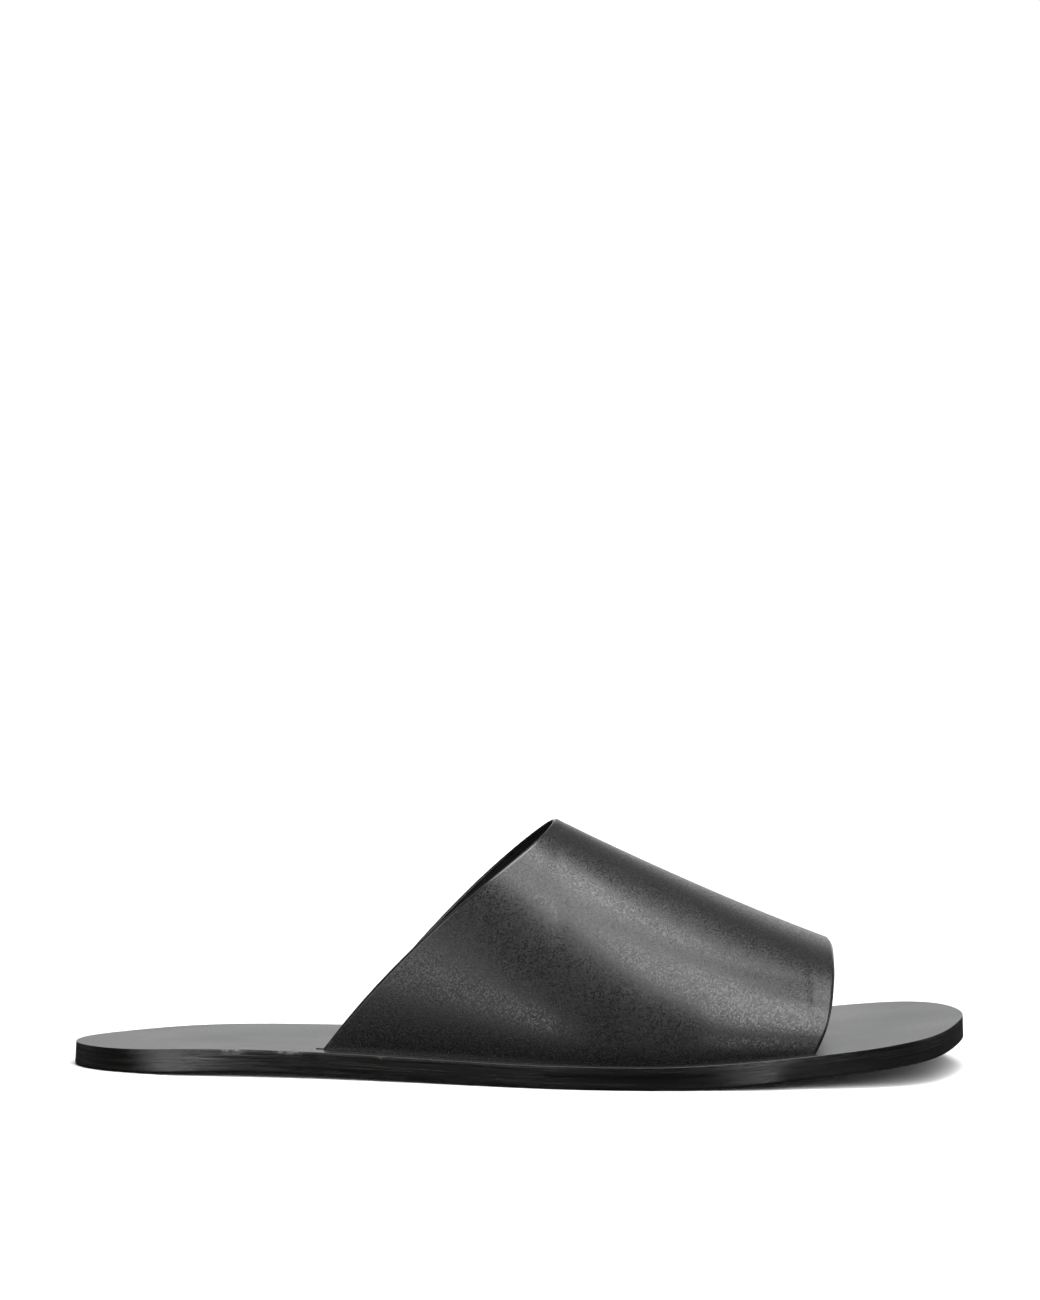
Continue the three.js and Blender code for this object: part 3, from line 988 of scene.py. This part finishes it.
SANDAL_MIDDLE = Vector((0.0, 0.0, 0.02))

# The floor: its half width in metres, its grey, its glow, where the glow sets in and
# where it is full in metres from the sandal, and how bright glossy leather mirrors it.
FLOOR_REACH = 15.0
FLOOR_GREY = 0.8
FLOOR_GLOW = 1.0
FLOOR_GLOW_START = 0.18
FLOOR_GLOW_END = 0.9
FLOOR_IN_GLOSS = 0.05

# The sky's brightness: as the camera sees it, and as it lights the sandal along the
# horizon behind it, above, and from the camera's side.
SKY_SEEN = 1.05
SKY_HORIZON = 1.05
SKY_ABOVE = 0.35
SKY_FRONT = 0.06

# Where the sky's light fades: by how far its direction points up, and how far back.
SKY_FADE_UP = (0.2, 0.55)
SKY_FADE_BACK = (-0.5, 0.35)

# Each lamp's azimuth and elevation in degrees and distance in metres, the width and
# height of its face in metres, and how bright the face looks.
LAMPS = [
    {"name": "top_softbox", "at": (30, 84, 1.3), "size": (0.9, 0.8), "brightness": 9.6},
    {"name": "right_strip", "at": (30, 40, 1.5), "size": (0.62, 1.16), "brightness": 8.0},
    {"name": "right_low_strip", "at": (18.5, 5, 1.5), "size": (0.16, 0.28), "brightness": 6.3},
    {"name": "left_strip", "at": (-33, 21, 1.5), "size": (0.44, 1.1), "brightness": 3.5},
    {"name": "left_low_strip", "at": (-18.5, 5, 1.5), "size": (0.13, 0.28), "brightness": 8.5},
    {"name": "toe_fill", "at": (80, 14, 1.5), "size": (0.5, 0.5), "brightness": 2.0},
]


def make_floor():
    """A plain pale floor that runs out of the picture on every side.

    It glows a little away from the sandal, to stay white as far as it can be seen, and
    glossy leather mirrors it dimly, as it would a floor with dark cards held over it.
    """
    material = bpy.data.materials.new("studio_floor")
    material.use_nodes = True
    nodes = material.node_tree.nodes
    links = material.node_tree.links
    shader = nodes["Principled BSDF"]
    shader.inputs["Base Color"].default_value = (FLOOR_GREY, FLOOR_GREY, FLOOR_GREY, 1.0)
    shader.inputs["Roughness"].default_value = 0.9
    shader.inputs["Specular IOR Level"].default_value = 0.0
    shader.inputs["Emission Color"].default_value = (1.0, 1.0, 1.0, 1.0)
    place = nodes.new("ShaderNodeTexCoord")
    distance = nodes.new("ShaderNodeVectorMath")
    distance.operation = "LENGTH"
    glow = nodes.new("ShaderNodeMapRange")
    glow.interpolation_type = "SMOOTHSTEP"
    glow.inputs["From Min"].default_value = FLOOR_GLOW_START
    glow.inputs["From Max"].default_value = FLOOR_GLOW_END
    glow.inputs["To Max"].default_value = FLOOR_GLOW
    links.new(place.outputs["Object"], distance.inputs[0])
    links.new(distance.outputs["Value"], glow.inputs["Value"])
    links.new(glow.outputs["Result"], shader.inputs["Emission Strength"])
    mirrored = nodes.new("ShaderNodeEmission")
    mirrored.inputs["Strength"].default_value = FLOOR_IN_GLOSS
    seen = nodes.new("ShaderNodeLightPath")
    choose = nodes.new("ShaderNodeMixShader")
    links.new(seen.outputs["Is Glossy Ray"], choose.inputs["Fac"])
    links.new(shader.outputs["BSDF"], choose.inputs[1])
    links.new(mirrored.outputs["Emission"], choose.inputs[2])
    links.new(choose.outputs["Shader"], nodes["Material Output"].inputs["Surface"])
    mesh = bpy.data.meshes.new("studio_floor")
    reach = FLOOR_REACH
    corners = [(-reach, -reach, 0), (reach, -reach, 0), (reach, reach, 0), (-reach, reach, 0)]
    mesh.from_pydata(corners, [], [(0, 1, 2, 3)])
    mesh.materials.append(material)
    floor = bpy.data.objects.new("studio_floor", mesh)
    bpy.context.scene.collection.objects.link(floor)
    return floor


def direction(azimuth, elevation):
    """Unit vector; azimuth 0 points to the camera's side (-Y) and 90 to the toe (+X)."""
    a = math.radians(azimuth)
    e = math.radians(elevation)
    return Vector((math.sin(a) * math.cos(e), -math.cos(a) * math.cos(e), math.sin(e)))


def softbox(name, at, size, brightness):
    """A rectangular lamp aimed at the sandal, as LAMPS gives it."""
    azimuth, elevation, distance = at
    width, height = size
    data = bpy.data.lights.new(name, "AREA")
    data.shape = "RECTANGLE"
    data.size = width
    data.size_y = height
    data.energy = brightness * math.pi * width * height
    lamp = bpy.data.objects.new(name, data)
    towards = direction(azimuth, elevation)
    lamp.location = SANDAL_MIDDLE + towards * distance
    lamp.rotation_euler = towards.to_track_quat("Z", "Y").to_euler()
    bpy.context.scene.collection.objects.link(lamp)


def make_sky():
    """White along the horizon behind, dim above and on the camera's side.

    The camera itself sees plain white.
    """
    world = bpy.data.worlds.new("studio")
    bpy.context.scene.world = world
    world.use_nodes = True
    nodes = world.node_tree.nodes
    links = world.node_tree.links
    background = nodes["Background"]
    place = nodes.new("ShaderNodeTexCoord")
    split = nodes.new("ShaderNodeSeparateXYZ")
    links.new(place.outputs["Generated"], split.inputs["Vector"])

    def ramp(value, from_min, from_max, to_min, to_max):
        node = nodes.new("ShaderNodeMapRange")
        node.interpolation_type = "SMOOTHSTEP"
        node.inputs["From Min"].default_value = from_min
        node.inputs["From Max"].default_value = from_max
        node.inputs["To Min"].default_value = to_min
        node.inputs["To Max"].default_value = to_max
        links.new(value, node.inputs["Value"])
        return node.outputs["Result"]

    low_band = ramp(split.outputs["Z"], *SKY_FADE_UP, SKY_HORIZON, SKY_ABOVE)
    behind = ramp(split.outputs["Y"], *SKY_FADE_BACK, 0.0, 1.0)
    sky = nodes.new("ShaderNodeMix")
    sky.data_type = "FLOAT"
    sky.inputs["A"].default_value = SKY_FRONT
    links.new(behind, sky.inputs["Factor"])
    links.new(low_band, sky.inputs["B"])
    seen = nodes.new("ShaderNodeLightPath")
    choose = nodes.new("ShaderNodeMix")
    choose.data_type = "FLOAT"
    choose.inputs["B"].default_value = SKY_SEEN
    links.new(seen.outputs["Is Camera Ray"], choose.inputs["Factor"])
    links.new(sky.outputs["Result"], choose.inputs["A"])
    links.new(choose.outputs["Result"], background.inputs["Strength"])
    background.inputs["Color"].default_value = (1.0, 1.0, 1.0, 1.0)


floor = make_floor()
make_sky()
for lamp in LAMPS:
    softbox(**lamp)
bpy.context.scene.view_settings.view_transform = "Standard"


# The camera

PHOTO_HEIGHT = 1300
SENSOR = 36.0
FOCAL_PIXELS = 5459.0
CAMERA_AZIMUTH = -2.88
CAMERA_ELEVATION = 9.0
CAMERA_ROLL = 0.66
CAMERA_DISTANCE = 1.6
AIM_POINT = (129.4, 0.0, 20.0)
AIM_BELOW_CENTRE = 347.0


def make_camera():
    """Aims the camera as the photo does: the sandal lies low in an upright frame."""
    data = bpy.data.cameras.new("camera")
    data.sensor_width = SENSOR
    data.lens = FOCAL_PIXELS * SENSOR / PHOTO_HEIGHT
    data.clip_end = 100.0
    camera = bpy.data.objects.new("camera", data)
    towards_camera = direction(CAMERA_AZIMUTH, CAMERA_ELEVATION)
    level_right = Vector((0, 0, 1)).cross(towards_camera).normalized()
    level_up = towards_camera.cross(level_right)
    roll = math.radians(CAMERA_ROLL)
    right = level_right * math.cos(roll) + level_up * math.sin(roll)
    up = level_up * math.cos(roll) - level_right * math.sin(roll)
    tilt = math.atan(AIM_BELOW_CENTRE / FOCAL_PIXELS)
    back = towards_camera * math.cos(tilt) - up * math.sin(tilt)
    tilted_up = up * math.cos(tilt) + towards_camera * math.sin(tilt)
    place = Matrix((right, tilted_up, back)).transposed().to_4x4()
    place.translation = Vector(to_frame(AIM_POINT)) + towards_camera * CAMERA_DISTANCE
    camera.matrix_world = place
    bpy.context.scene.collection.objects.link(camera)
    bpy.context.scene.camera = camera


make_camera()
